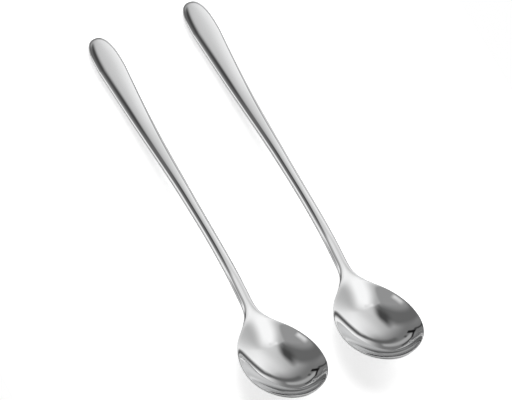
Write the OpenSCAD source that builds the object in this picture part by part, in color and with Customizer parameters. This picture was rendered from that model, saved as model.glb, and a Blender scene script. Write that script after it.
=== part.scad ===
// Pair of long-handled iced tea spoons, each pressed and polished from one piece of stainless steel.
// They lie on a table side by side, bowls up, with the bowl tips toward +X and the table at Z = 0.

/* [Pair] */
// Distance between the centre lines of the two spoons
pair_pitch = 38.2; // [36:0.1:60]
// How far the right spoon lies back along its handle from the left one
pair_stagger = 4.4; // [0:0.1:20]

/* [Spoon] */
// Length of a spoon from the tip of its bowl to the end of its handle
spoon_length = 200; // [180:1:230]

/* [Bowl] */
// Length of the bowl from its tip to its heel at the neck
bowl_length = 47; // [42:0.2:56]
// Width across the rim at the widest place
bowl_width = 28.8; // [26:0.2:34]
// How much fuller the outline is toward the tip than toward the heel
bowl_egg = 0.11; // [0:0.01:0.3]
// Depth of the bowl below its rim at the deepest place
bowl_depth = 6.7; // [5:0.1:9]
// How much deeper the dish is toward the tip than toward the neck, where it runs out
dish_egg = 0.35; // [0.2:0.01:0.5]
// Thickness of the bowl's wall on the centre line
bowl_wall = 1.3; // [0.9:0.05:2]
// Length over which the rim's edge rounds off at the tip
rim_round = 0.8; // [0.4:0.1:1.5]
// Height of the rim at the tip above the rim halfway along the bowl
tip_rise = 5.1; // [0:0.1:6]
// Depth of the rim line at the heel below the rim halfway along the bowl
heel_drop = 3.3; // [0:0.1:4]

/* [Neck] */
// Length of the neck from the bowl's heel to the start of the handle's slope
neck_length = 22; // [16:0.5:28]
// Width of the neck at the heel
neck_width = 4.6; // [3.5:0.1:6]
// Depth of the neck's centre line below the rim halfway along the bowl
neck_drop = 1.2; // [0:0.1:3]
// Size of the fillet where the outline of the neck meets the bowl
neck_fillet = 3.7; // [2:0.1:8]
// Width that the neck gains as it flares into the heel
neck_flare = 4.8; // [0:0.1:6]
// Length along the neck over which it flares
neck_flare_length = 10.2; // [4:0.2:14]

/* [Handle] */
// Width of the rod where the handle is slimmest
rod_width = 4.3; // [3:0.1:5]
// Thickness of the rod where the handle is slimmest
rod_thickness = 3.4; // [2.8:0.1:4.2]
// Length over which the rod flares into the broad end
flare_length = 96; // [70:1:100]
// Power of the flare, where 1 is a straight taper
flare_power = 1.85; // [1:0.05:2.2]
// Width of the broad end
end_width = 10.3; // [8:0.1:14]
// Thickness of the broad end
end_thickness = 3.2; // [2:0.1:4]
// Length of the round end past the broadest place
end_round = 16.6; // [8:0.1:18]
// Height of the handle's centre line above the table, a third of the way from neck to end
first_third_height = 5.4; // [3.5:0.1:9]
// Height of the handle's centre line above the table, two thirds of the way from neck to end
second_third_height = 2.2; // [2:0.1:6]

/* [Hidden] */

// Rings of points along the bowl and along the neck and handle, and points round each ring
bowl_rings = 42;
handle_rings = 48;
ring_points = 36;

// Share of the bowl's length that the bowl's own rings cover, before the handle's rings take over
bowl_cover = 0.93;

// Powers that shape the round end's outline: along the handle and across it
end_along = 3;
end_across = 2.7;
// Power that thins the round end's edge
end_thinning = 20;

// Power of the neck's flare into the heel
neck_flare_power = 3;
// Power that shapes the dish along the bowl
depth_power = 1.6;
// Power of the wall's swelling from the rim inward: the smaller, the blunter the rim
rim_power = 0.35;

// Shares of the bowl's length where the section starts and ends its change from dish to oval rod
blend_start = 0.75;
blend_end = 1.2;
// Shares of the bowl's length where the handle's outline starts and ends its growth inside the bowl
root_start = 0.3;
root_end = 0.85;

// Least share of full width and of full thickness at the two ends, where the rings close
closing_width = 0.02;
closing_thickness = 0.2;

steel = [0.80, 0.81, 0.82];

// Stations along the spoon, measured from the bowl's tip
dish_length = blend_end * bowl_length;
neck_end = bowl_length + neck_length;
handle_run = spoon_length - neck_end;
flare_end = spoon_length - end_round;
flare_start = flare_end - flare_length;

// Smooth step from 0 to 1 between two stations
function clamped(v) = min(max(v, 0), 1);
function eased(v) = v * v * (3 - 2 * v);
function smooth_step(from, to, x) = eased(clamped((x - from) / (to - from)));

// Larger of two values, with the corner between them rounded over size k
function smooth_max(a, b, k) = max(a, b) + (k > 0 ? pow(max(k - abs(a - b), 0), 2) / (4 * k) : 0);

// Egg-shaped curve along the bowl: the larger the shift, the nearer the tip it peaks
function egg(angle, shift) = sin(angle) * (1 + shift * cos(angle));
function egg_peak(shift) = max([for (angle = [0 : 1 : 180]) egg(angle, shift)]);
function egg_at(x, length, shift) = max(egg(acos(max(1 - 2 * x / length, -1)), shift), 0);
outline_peak = egg_peak(bowl_egg);
dish_peak = egg_peak(dish_egg);

// Outline of the bowl as a share of its half width, and its dish as a share of its depth
function bowl_fullness(x) = egg_at(x, bowl_length, bowl_egg) / outline_peak;
function dish_fullness(x) = egg_at(x, dish_length, dish_egg) / dish_peak;

// How far the section has changed from the bowl's dish (0) to the handle's oval (1)
function handle_share(x) = smooth_step(blend_start * bowl_length, blend_end * bowl_length, x);

// How far the handle has flared, and how far x lies into its round end
function flare_share(x) = clamped((x - flare_start) / flare_length);
function round_share(x) = clamped((x - flare_end) / end_round);

// Half width of the handle: heel, neck, rod, flare and round end
function handle_half_width(x) =
    let (heel_share = clamped(1 - (x - bowl_length) / neck_flare_length))
    let (heel = neck_flare * pow(heel_share, neck_flare_power))
    let (rod = neck_width + (rod_width - neck_width) * smooth_step(bowl_length, flare_start, x))
    let (flared = heel + rod + (end_width - rod_width) * pow(flare_share(x), flare_power))
    let (left_over = max(1 - pow(round_share(x), end_along), pow(closing_width, end_across)))
    let (grown = smooth_step(root_start * bowl_length, root_end * bowl_length, x))
    flared * pow(left_over, 1 / end_across) * grown / 2;

// Half width of the whole outline, with the neck's fillet round the heel
function half_width(x) =
    let (grown = smooth_step(root_start * bowl_length, blend_start * bowl_length, x))
    let (faded = smooth_step(bowl_length, bowl_length + neck_flare_length, x))
    let (bowl_half = max(bowl_fullness(x), closing_width) * bowl_width / 2)
    smooth_max(bowl_half, handle_half_width(x), neck_fillet * grown * (1 - faded));

// Half thickness: the bowl's wall, rounded at the tip, blended into the handle's
function tip_rounding(x) =
    let (inset = min(x / rim_round, 1))
    sqrt(max(inset * (2 - inset), pow(closing_thickness, 2)));
function handle_half_thickness(x) =
    let (full = rod_thickness + (end_thickness - rod_thickness) * flare_share(x))
    full / 2 * sqrt(max(1 - pow(round_share(x), end_thinning), pow(closing_thickness, 2)));
function half_thickness(x) =
    let (share = handle_share(x))
    bowl_wall / 2 * tip_rounding(x) * (1 - share) + handle_half_thickness(x) * share;

// Depth of the bowl's dish on the centre line, which runs out smoothly in the neck
function dish_depth(x) = bowl_depth * pow(dish_fullness(x), depth_power) * (1 - handle_share(x));

// Smooth curve through knots [x, z], with slopes taken from each knot's two neighbours
function slope_between(knots, i) = (knots[i + 1][1] - knots[i][1]) / (knots[i + 1][0] - knots[i][0]);
function knot_slope(knots, i) =
    let (last = len(knots) - 1)
    i == 0 ? slope_between(knots, 0) :
    i == last ? slope_between(knots, last - 1) :
    let (before = knots[i][0] - knots[i - 1][0])
    let (after = knots[i + 1][0] - knots[i][0])
    (after * slope_between(knots, i - 1) + before * slope_between(knots, i)) / (before + after);
function curve_at(knots, x) =
    let (i = max([for (k = [0 : len(knots) - 2]) if (k == 0 || x > knots[k][0]) k]))
    let (run = knots[i + 1][0] - knots[i][0])
    let (t = (x - knots[i][0]) / run)
    knots[i][1] * (1 + 2 * t) * pow(1 - t, 2) + knot_slope(knots, i) * run * t * pow(1 - t, 2)
    + knots[i + 1][1] * t * t * (3 - 2 * t) + knot_slope(knots, i + 1) * run * t * t * (t - 1);

// Side view of the rim and neck, above the rim halfway along the bowl
rim_knots = [[0, tip_rise], [bowl_length / 2, 0], [bowl_length, -heel_drop], [neck_end, -neck_drop]];
bowl_samples = [for (i = [0 : bowl_rings]) bowl_length * i / bowl_rings];
rim_height = -min([for (x = bowl_samples) curve_at(rim_knots, x) - half_thickness(x) - dish_depth(x)]);

// Side view of the whole spoon above the table, on which its belly and its handle's end rest
handle_knots = [
    [neck_end + handle_run / 3, first_third_height],
    [neck_end + handle_run * 2 / 3, second_third_height],
    [spoon_length, end_thickness / 2]
];
side_knots = concat([for (knot = rim_knots) [knot[0], knot[1] + rim_height]], handle_knots);

// Stations of the rings, closer together at the tip, at the neck and at the handle's end
bowl_turn = acos(1 - 2 * bowl_cover);
bowl_stations = [for (i = [0 : bowl_rings - 1]) bowl_length * (1 - cos(bowl_turn * i / bowl_rings)) / 2];
handle_start = bowl_length * bowl_cover;
handle_stations = [
    for (i = [0 : handle_rings])
        handle_start + (spoon_length - handle_start) * (1 - cos(180 * i / handle_rings)) / 2
];
stations = concat(bowl_stations, handle_stations);

// One ring across the spoon: over the upper face from the left edge to the right, and back below
function ring(x) =
    let (half = half_width(x))
    let (thick = half_thickness(x))
    let (dish = dish_depth(x))
    let (middle = curve_at(side_knots, x))
    let (power = rim_power + (1 - rim_power) * handle_share(x))
    [
        for (i = [0 : ring_points - 1])
            let (angle = 360 * i / ring_points)
            let (inward = abs(sin(angle)))
            let (swell = sign(sin(angle)) * thick * pow(inward, power))
            [-x, half * cos(angle), middle + swell - dish * inward * inward]
    ];

// Faces between neighbouring rings, and the two small faces that close the ends
function band_faces(r) = [
    for (i = [0 : ring_points - 1])
        let (a = r * ring_points + i)
        let (b = r * ring_points + (i + 1) % ring_points)
        let (c = a + ring_points)
        let (d = b + ring_points)
        each [[a, b, c], [b, d, c]]
];
first_face = [for (i = [0 : ring_points - 1]) ring_points - 1 - i];
last_face = [for (i = [0 : ring_points - 1]) (len(stations) - 1) * ring_points + i];

// One spoon as a loft through its rings, with the bowl's tip at the origin
module spoon() {
    polyhedron(
        points = [for (x = stations) each ring(x)],
        faces = concat([for (r = [0 : len(stations) - 2]) each band_faces(r)], [first_face, last_face]),
        convexity = 6
    );
}

module left_spoon() {
    color(steel)
        translate([(spoon_length + pair_stagger) / 2, -pair_pitch / 2, 0])
            spoon();
}

module right_spoon() {
    color(steel)
        translate([(spoon_length - pair_stagger) / 2, pair_pitch / 2, 0])
            spoon();
}

left_spoon();
right_spoon();
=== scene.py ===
"""Pair of polished steel iced tea spoons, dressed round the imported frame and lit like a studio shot."""
import math

import bpy
from mathutils import Matrix, Vector


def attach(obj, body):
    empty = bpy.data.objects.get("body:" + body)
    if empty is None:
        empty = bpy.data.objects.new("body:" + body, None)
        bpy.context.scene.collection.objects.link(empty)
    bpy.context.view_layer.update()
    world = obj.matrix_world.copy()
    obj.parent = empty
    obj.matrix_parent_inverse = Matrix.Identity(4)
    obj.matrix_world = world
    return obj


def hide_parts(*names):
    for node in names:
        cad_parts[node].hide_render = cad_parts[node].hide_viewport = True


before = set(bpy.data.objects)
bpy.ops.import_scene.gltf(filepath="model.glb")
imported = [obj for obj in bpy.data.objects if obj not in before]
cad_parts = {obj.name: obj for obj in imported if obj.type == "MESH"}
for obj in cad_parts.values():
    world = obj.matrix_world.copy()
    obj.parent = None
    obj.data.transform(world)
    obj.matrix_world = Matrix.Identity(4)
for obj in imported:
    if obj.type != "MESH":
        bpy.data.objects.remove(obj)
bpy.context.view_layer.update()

# The spoon's sizes in millimetres, under the same names as in the part's source
MM = 0.001
pair_pitch = 38.2
pair_stagger = 4.4
spoon_length = 200
bowl_length = 47
bowl_width = 28.8
bowl_egg = 0.11
bowl_depth = 6.7
dish_egg = 0.35
bowl_wall = 1.3
rim_round = 0.8
tip_rise = 5.1
heel_drop = 3.3
neck_length = 22
neck_width = 4.6
neck_drop = 1.2
neck_fillet = 3.7
neck_flare = 4.8
neck_flare_length = 10.2
rod_width = 4.3
rod_thickness = 3.4
flare_length = 96
flare_power = 1.85
end_width = 10.3
end_thickness = 3.2
end_round = 16.6
first_third_height = 5.4
second_third_height = 2.2

# Shape powers and shares, as in the part's source
end_along = 3
end_across = 2.7
end_thinning = 20
neck_flare_power = 3
depth_power = 1.6
rim_power = 0.35
blend_start = 0.75
blend_end = 1.2
root_start = 0.3
root_end = 0.85

# The smooth mesh: the share of the bowl's length that the bowl's rings cover, the count of rings and of
# points in a quarter of a ring, how closely those crowd at the edges, and the share of the width and of
# the thickness that is left at the two ends
bowl_cover = 0.93
bowl_rings = 150
handle_rings = 260
quarter_points = 28
edge_crowding = 1.7
closing_width = 0.006
closing_thickness = 0.06

# Wear: how far it reaches in from the edges, as a share of the section, and the heights above the table in
# millimetres at which it is full and gone
edge_wear_width = 0.35
belly_wear_low = 0.2
belly_wear_high = 1.4

# Steel: colours between which the smudges vary, the middle band of the noise that makes them, and for each
# kind of mark its scale in cycles per metre, its turn in degrees, its finer detail and its roughness. The
# bump's distance is in metres
steel_darker = (0.765, 0.768, 0.771, 1)
steel_lighter = (0.795, 0.798, 0.801, 1)
noise_band = (0.3, 0.7)
smudge_scale = (70, 90, 90)
smudge_detail = 3
smudge_roughness = (0.02, 0.04)
line_scale = (60, 5200, 5200)
line_detail = 2
line_roughness = 0.012
hairline_scale = (150, 4000, 4000)
hairline_turn = 24
hairline_detail = 1
hairline_band = (0.62, 0.68)
rubbed_roughness = 0.025
scratch_roughness = 0.14
line_relief = 0.25
bump_strength = 0.05
bump_distance = 0.00002

# Colour of all light, and how bright the world is where the camera sees past the floor
white = (1, 1, 1, 1)
backdrop_level = 1

# Panels round the spoons that the steel mirrors, each over those before it: degrees right of straight away
# from the camera, degrees up, roll, half width, half height and softness of the edge in degrees, brightness
room_level = 0.5
panels = {
    "rear softbox": (165, 34, 0, 36, 9, 6, 1.15),
    "rear dark band": (180, 12, 0, 80, 4.5, 3.5, 0.1),
    "rear left window": (-128, 24, 0, 8, 18, 4, 1.1),
    "rear right dark board": (112, 32, 0, 8, 26, 5, 0.13),
    "ceiling softbox": (12, 79, -2, 20, 34, 14, 1.2),
    "neck light": (-26, 66, -20, 10, 5, 4, 1),
    "right glow": (28, 22, 7.5, 50, 36.5, 24.5, 0.56),
    "right softbox": (19, 10.5, 70, 32, 22.5, 22.5, 1.13),
    "middle grey": (-22, 9, -2, 32, 21, 13, 0.21),
    "low grey band": (-20, 9, -12, 17, 3.4, 2.4, 0.45),
    "left part of the dark gap": (-5, 17.8, 5, 19, 3.2, 2.8, 0.14),
    "right part of the dark gap": (26, 7.7, 30, 15.5, 3.1, 2.6, 0.12),
    "grey flag": (-94.5, 23, 11, 27.5, 35, 3, 0.36),
    "dark edge of the grey flag": (-51.5, 31, 16, 7.5, 21, 4.5, 0.16),
    "dark corner of the grey flag": (-37.5, 44, 20, 6.5, 7, 5, 0.07),
    "left window": (-69, -2, -8, 6.5, 22, 3.5, 1.15),
    "slanted top of the window": (-73.5, 28, 45, 5.5, 4.6, 2.6, 1.2),
    "upright stroke of the black mark": (-38.8, 8.8, 7, 1.5, 4.6, 0.9, 0.005),
    "left stroke of the black mark": (-41.5, 4.5, 0, 0.9, 3, 0.8, 0.05),
    "inner stroke of the black mark": (-32.3, 11.5, 0, 1.4, 1.8, 1, 0.1),
    "slanted stroke of the black mark": (-35.3, 4, 28, 3.6, 1.1, 0.8, 0.01),
    "lower stroke of the black mark": (-26, 2.4, 0, 6.5, 1.1, 0.9, 0.04),
}

# Light that falls on the floor: the way it comes from, in degrees as for the panels, the cosine of the angle
# from there at which it ends, and its brightness outside that and straight along it
floor_light_from = (25, 34)
floor_light_edge = 0.6
floor_light = (0.03, 4)

# Floor, as small as a table so that the bowls mirror the panels past its edge: its paleness, its half sizes
# and drop in metres, and its glow where the camera and where the steel sees it, which keeps shadows pale
floor_shade = 0.75
floor_half = (0.15, 0.11)
floor_drop = 0.00005
camera_glow = 0.75
mirror_glow = 0.03

# Camera, as found from the outline in the photograph: degrees round and up, lens and film in millimetres,
# distance and clipping range in metres, and the point at the picture's centre in millimetres
view_azimuth = 67.9
view_elevation = 46.06
camera_lens = 1000
camera_sensor = 36
camera_distance = 5.003
camera_clip = (0.1, 20)
picture_centre = (30.392, -8.849, 37.712)

# Turns in degrees
quarter_turn = 90
half_turn = 180

# Stations along the spoon, measured from the bowl's tip
dish_length = blend_end * bowl_length
neck_end = bowl_length + neck_length
handle_run = spoon_length - neck_end
flare_end = spoon_length - end_round
flare_start = flare_end - flare_length


# Shape laws

def clamped(value):
    return min(max(value, 0), 1)


def smooth_step(start, end, x):
    share = clamped((x - start) / (end - start))
    return share * share * (3 - 2 * share)


def smooth_max(first, second, reach):
    rounding = max(reach - abs(first - second), 0) ** 2 / (4 * reach) if reach > 0 else 0
    return max(first, second) + rounding


def egg(angle, shift):
    return math.sin(angle) * (1 + shift * math.cos(angle))


def egg_peak(shift):
    return max(egg(math.radians(angle), shift) for angle in range(half_turn + 1))


def egg_at(x, length, shift):
    return max(egg(math.acos(max(1 - 2 * x / length, -1)), shift), 0)


outline_peak = egg_peak(bowl_egg)
dish_peak = egg_peak(dish_egg)


def bowl_fullness(x):
    return egg_at(x, bowl_length, bowl_egg) / outline_peak


def dish_fullness(x):
    return egg_at(x, dish_length, dish_egg) / dish_peak


def handle_share(x):
    return smooth_step(blend_start * bowl_length, blend_end * bowl_length, x)


def flare_share(x):
    return clamped((x - flare_start) / flare_length)


def round_share(x):
    return clamped((x - flare_end) / end_round)


def handle_half_width(x):
    heel_share = clamped(1 - (x - bowl_length) / neck_flare_length)
    heel = neck_flare * heel_share ** neck_flare_power
    rod = neck_width + (rod_width - neck_width) * smooth_step(bowl_length, flare_start, x)
    flared = heel + rod + (end_width - rod_width) * flare_share(x) ** flare_power
    left_over = max(1 - round_share(x) ** end_along, closing_width ** end_across)
    grown = smooth_step(root_start * bowl_length, root_end * bowl_length, x)
    return flared * left_over ** (1 / end_across) * grown / 2


def half_width(x):
    grown = smooth_step(root_start * bowl_length, blend_start * bowl_length, x)
    faded = smooth_step(bowl_length, bowl_length + neck_flare_length, x)
    bowl_half = max(bowl_fullness(x), closing_width) * bowl_width / 2
    return smooth_max(bowl_half, handle_half_width(x), neck_fillet * grown * (1 - faded))


def tip_rounding(x):
    inset = min(x / rim_round, 1)
    return math.sqrt(max(inset * (2 - inset), closing_thickness ** 2))


def handle_half_thickness(x):
    full = rod_thickness + (end_thickness - rod_thickness) * flare_share(x)
    return full / 2 * math.sqrt(max(1 - round_share(x) ** end_thinning, closing_thickness ** 2))


def half_thickness(x):
    share = handle_share(x)
    return bowl_wall / 2 * tip_rounding(x) * (1 - share) + handle_half_thickness(x) * share


def dish_depth(x):
    return bowl_depth * dish_fullness(x) ** depth_power * (1 - handle_share(x))


# Side view: a smooth curve through knots, with slopes taken from each knot's two neighbours

def slope_between(knots, i):
    return (knots[i + 1][1] - knots[i][1]) / (knots[i + 1][0] - knots[i][0])


def knot_slope(knots, i):
    last = len(knots) - 1
    if i == 0:
        return slope_between(knots, 0)
    if i == last:
        return slope_between(knots, last - 1)
    before = knots[i][0] - knots[i - 1][0]
    after = knots[i + 1][0] - knots[i][0]
    return (after * slope_between(knots, i - 1) + before * slope_between(knots, i)) / (before + after)


def curve_at(knots, x):
    i = max(k for k in range(len(knots) - 1) if k == 0 or x > knots[k][0])
    run = knots[i + 1][0] - knots[i][0]
    t = (x - knots[i][0]) / run
    start = knots[i][1] * (1 + 2 * t) * (1 - t) ** 2 + knot_slope(knots, i) * run * t * (1 - t) ** 2
    end = knots[i + 1][1] * t * t * (3 - 2 * t) + knot_slope(knots, i + 1) * run * t * t * (t - 1)
    return start + end


rim_knots = [(0, tip_rise), (bowl_length / 2, 0), (bowl_length, -heel_drop), (neck_end, -neck_drop)]
bowl_samples = [bowl_length * i / bowl_rings for i in range(bowl_rings + 1)]
rim_height = -min(curve_at(rim_knots, x) - half_thickness(x) - dish_depth(x) for x in bowl_samples)
side_knots = [(x, z + rim_height) for x, z in rim_knots] + [
    (neck_end + handle_run / 3, first_third_height),
    (neck_end + handle_run * 2 / 3, second_third_height),
    (spoon_length, end_thickness / 2),
]


# The smooth mesh: rings across the spoon, joined by quads

def stations():
    bowl_turn = math.acos(1 - 2 * bowl_cover)
    bowl = [bowl_length * (1 - math.cos(bowl_turn * i / bowl_rings)) / 2 for i in range(bowl_rings)]
    start = bowl_length * bowl_cover
    run = spoon_length - start
    turns = [math.pi * i / handle_rings for i in range(handle_rings + 1)]
    return bowl + [start + run * (1 - math.cos(turn)) / 2 for turn in turns]


def ring_angles():
    quarter = [math.pi / 2 * (i / quarter_points) ** edge_crowding for i in range(quarter_points + 1)]
    upper = quarter + [math.pi - angle for angle in reversed(quarter[:-1])]
    return upper + [math.pi + angle for angle in upper[1:-1]]


def ring(x, angles):
    half = half_width(x)
    thick = half_thickness(x)
    dish = dish_depth(x)
    middle = curve_at(side_knots, x)
    power = rim_power + (1 - rim_power) * handle_share(x)
    points = []
    for angle in angles:
        inward = min(abs(math.sin(angle)), 1)
        swell = math.copysign(thick * inward ** power, math.sin(angle))
        points.append((-x, half * math.cos(angle), middle + swell - dish * inward * inward))
    return points


def edge_wear(angle):
    return 1 - smooth_step(0, edge_wear_width, abs(math.sin(angle)))


def belly_wear(height):
    return 1 - smooth_step(belly_wear_low, belly_wear_high, height)


def spoon_mesh(name, tip_x, middle_y):
    angles = ring_angles()
    count = len(angles)
    rings = [ring(x, angles) for x in stations()]
    points = [((tip_x + x) * MM, (middle_y + y) * MM, z * MM) for row in rings for x, y, z in row]
    faces = []
    for r in range(len(rings) - 1):
        for i in range(count):
            here = r * count + i
            beside = r * count + (i + 1) % count
            faces.append((here, beside, beside + count, here + count))
    faces.append(tuple(range(count - 1, -1, -1)))
    faces.append(tuple(range((len(rings) - 1) * count, len(rings) * count)))
    mesh = bpy.data.meshes.new(name)
    mesh.from_pydata(points, [], faces)
    mesh.shade_smooth()
    edges = [edge_wear(angle) for angle in angles] * len(rings)
    bellies = [belly_wear(point[2]) for row in rings for point in row]
    for wear_name, values in (("edge_wear", edges), ("belly_wear", bellies)):
        mesh.attributes.new(wear_name, "FLOAT", "POINT").data.foreach_set("value", values)
    return mesh


# Shader helpers

def feed(tree, socket, value):
    """Links another node's output to the socket, or sets a plain number there."""
    if isinstance(value, bpy.types.NodeSocket):
        tree.links.new(value, socket)
    else:
        socket.default_value = value


def math_node(tree, operation, *values):
    node = tree.nodes.new("ShaderNodeMath")
    node.operation = operation
    for socket, value in zip(node.inputs, values):
        feed(tree, socket, value)
    return node.outputs["Value"]


def mix_node(tree, share, first, second):
    node = tree.nodes.new("ShaderNodeMix")
    node.data_type = "FLOAT"
    for name, value in (("Factor", share), ("A", first), ("B", second)):
        feed(tree, node.inputs[name], value)
    return node.outputs["Result"]


def dot_node(tree, vector, axis):
    node = tree.nodes.new("ShaderNodeVectorMath")
    node.operation = "DOT_PRODUCT"
    tree.links.new(vector, node.inputs[0])
    node.inputs[1].default_value = axis
    return node.outputs["Value"]


def range_node(tree, value, start, end, low, high):
    node = tree.nodes.new("ShaderNodeMapRange")
    node.interpolation_type = "SMOOTHSTEP"
    tree.links.new(value, node.inputs["Value"])
    for name, number in (("From Min", start), ("From Max", end), ("To Min", low), ("To Max", high)):
        node.inputs[name].default_value = number
    return node.outputs["Result"]


def noise_node(tree, coordinates, scale, turn, detail):
    mapping = tree.nodes.new("ShaderNodeMapping")
    mapping.inputs["Scale"].default_value = scale
    mapping.inputs["Rotation"].default_value = (0, 0, math.radians(turn))
    tree.links.new(coordinates, mapping.inputs["Vector"])
    noise = tree.nodes.new("ShaderNodeTexNoise")
    noise.inputs["Scale"].default_value = 1
    noise.inputs["Detail"].default_value = detail
    tree.links.new(mapping.outputs["Vector"], noise.inputs["Vector"])
    return noise.outputs["Fac"]


def wear_node(tree, name):
    node = tree.nodes.new("ShaderNodeAttribute")
    node.attribute_name = name
    return node.outputs["Fac"]


# Polished stainless steel: a mirror finish with faint polishing lines, handling smudges and rubbed edges

def polished_steel():
    material = bpy.data.materials.new("polished_steel")
    material.use_nodes = True
    tree = material.node_tree
    shader = tree.nodes["Principled BSDF"]
    shader.inputs["Metallic"].default_value = 1
    place = tree.nodes.new("ShaderNodeTexCoord").outputs["Object"]
    smudges = noise_node(tree, place, smudge_scale, 0, smudge_detail)
    lines = noise_node(tree, place, line_scale, 0, line_detail)
    hairlines = noise_node(tree, place, hairline_scale, hairline_turn, hairline_detail)
    hairlines = range_node(tree, hairlines, *hairline_band, 0, 1)
    rubbed = math_node(tree, "MAXIMUM", wear_node(tree, "edge_wear"), wear_node(tree, "belly_wear"))
    scratched = math_node(tree, "MULTIPLY", hairlines, rubbed)

    polish = range_node(tree, smudges, *noise_band, *smudge_roughness)
    polish = math_node(tree, "ADD", polish, range_node(tree, lines, *noise_band, 0, line_roughness))
    polish = math_node(tree, "ADD", polish, range_node(tree, rubbed, 0, 1, 0, rubbed_roughness))
    polish = math_node(tree, "ADD", polish, range_node(tree, scratched, 0, 1, 0, scratch_roughness))
    tree.links.new(polish, shader.inputs["Roughness"])

    tint = tree.nodes.new("ShaderNodeMix")
    tint.data_type = "RGBA"
    tree.links.new(smudges, tint.inputs["Factor"])
    tint.inputs["A"].default_value = steel_darker
    tint.inputs["B"].default_value = steel_lighter
    tree.links.new(tint.outputs["Result"], shader.inputs["Base Color"])

    relief = math_node(tree, "SUBTRACT", math_node(tree, "MULTIPLY", lines, line_relief), scratched)
    bump = tree.nodes.new("ShaderNodeBump")
    bump.inputs["Strength"].default_value = bump_strength
    bump.inputs["Distance"].default_value = bump_distance
    tree.links.new(relief, bump.inputs["Height"])
    tree.links.new(bump.outputs["Normal"], shader.inputs["Normal"])
    return material


# Studio

def level_axes():
    """Level directions to the right as the camera sees it, and straight away from the camera."""
    azimuth = math.radians(view_azimuth)
    right = Vector((math.cos(azimuth), math.sin(azimuth), 0))
    away = Vector((-math.sin(azimuth), math.cos(azimuth), 0))
    return right, away


def add_camera():
    right, away = level_axes()
    elevation = math.radians(view_elevation)
    back = Vector((0, 0, math.sin(elevation))) - away * math.cos(elevation)
    up = back.cross(right)
    data = bpy.data.cameras.new("camera")
    data.lens = camera_lens
    data.sensor_width = camera_sensor
    data.clip_start, data.clip_end = camera_clip
    camera = bpy.data.objects.new("camera", data)
    turn = Matrix((right, up, back)).transposed().to_4x4()
    place = Vector(picture_centre) * MM + back * camera_distance
    camera.matrix_world = Matrix.Translation(place) @ turn
    bpy.context.collection.objects.link(camera)
    bpy.context.scene.camera = camera


def studio_direction(azimuth, elevation):
    """Direction given by degrees to the right of straight away from the camera, and above the floor."""
    right, away = level_axes()
    sideways = math.radians(azimuth)
    upwards = math.radians(elevation)
    level = right * math.sin(sideways) + away * math.cos(sideways)
    return level * math.cos(upwards) + Vector((0, 0, math.sin(upwards)))


def panel_mask(tree, direction, azimuth, elevation, roll, half_across, half_upright, softness):
    """1 where the direction meets the panel, 0 where it misses, and between the two at its soft edge."""
    ahead = studio_direction(azimuth, elevation)
    level = studio_direction(azimuth + quarter_turn, 0)
    turn = Matrix.Rotation(math.radians(roll), 3, ahead)
    across = turn @ level
    upright = turn @ level.cross(ahead)
    ahead_part = dot_node(tree, direction, ahead)
    masks = []
    for axis, half in ((across, half_across), (upright, half_upright)):
        angle = math_node(tree, "ARCTAN2", dot_node(tree, direction, axis), ahead_part)
        size = math_node(tree, "ABSOLUTE", angle)
        full = math.radians(half - softness)
        none = math.radians(half + softness)
        masks.append(range_node(tree, size, full, none, 1, 0))
    return math_node(tree, "MULTIPLY", *masks)


def add_world():
    world = bpy.data.worlds.new("studio")
    bpy.context.scene.world = world
    world.use_nodes = True
    tree = world.node_tree
    direction = tree.nodes.new("ShaderNodeTexCoord").outputs["Generated"]
    level = room_level
    for *place, brightness in panels.values():
        mask = panel_mask(tree, direction, *place)
        level = mix_node(tree, mask, level, brightness)
    facing = dot_node(tree, direction, studio_direction(*floor_light_from))
    cast = range_node(tree, facing, floor_light_edge, 1, *floor_light)
    rays = tree.nodes.new("ShaderNodeLightPath").outputs
    shown = mix_node(tree, rays["Is Glossy Ray"], cast, level)
    shown = mix_node(tree, rays["Is Camera Ray"], shown, backdrop_level)
    background = tree.nodes["Background"]
    background.inputs["Color"].default_value = white
    tree.links.new(shown, background.inputs["Strength"])


def pale_floor():
    material = bpy.data.materials.new("pale_floor")
    material.use_nodes = True
    tree = material.node_tree
    shader = tree.nodes["Principled BSDF"]
    shader.inputs["Base Color"].default_value = (floor_shade, floor_shade, floor_shade, 1)
    shader.inputs["Roughness"].default_value = 1
    shader.inputs["Specular IOR Level"].default_value = 0
    shader.inputs["Emission Color"].default_value = white
    rays = tree.nodes.new("ShaderNodeLightPath").outputs
    seen = math_node(tree, "MULTIPLY", rays["Is Camera Ray"], camera_glow)
    mirrored = math_node(tree, "MULTIPLY", rays["Is Glossy Ray"], mirror_glow)
    tree.links.new(math_node(tree, "ADD", seen, mirrored), shader.inputs["Emission Strength"])
    return material


def add_floor():
    corners = ((-1, -1), (1, -1), (1, 1), (-1, 1))
    points = [(x * floor_half[0], y * floor_half[1], -floor_drop) for x, y in corners]
    mesh = bpy.data.meshes.new("floor")
    mesh.from_pydata(points, [], [(0, 1, 2, 3)])
    mesh.materials.append(pale_floor())
    stage = bpy.data.objects.new("floor", mesh)
    bpy.context.collection.objects.link(stage)


# Assembly

steel = polished_steel()
for name, tip_x, middle_y in (
    ("left_spoon", (spoon_length + pair_stagger) / 2, -pair_pitch / 2),
    ("right_spoon", (spoon_length - pair_stagger) / 2, pair_pitch / 2),
):
    mesh = spoon_mesh("polished_" + name, tip_x, middle_y)
    mesh.materials.append(steel)
    spoon = bpy.data.objects.new("polished_" + name, mesh)
    bpy.context.collection.objects.link(spoon)
    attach(spoon, name)
    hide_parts(name)

add_camera()
add_world()
add_floor()
bpy.context.scene.view_settings.view_transform = "Standard"
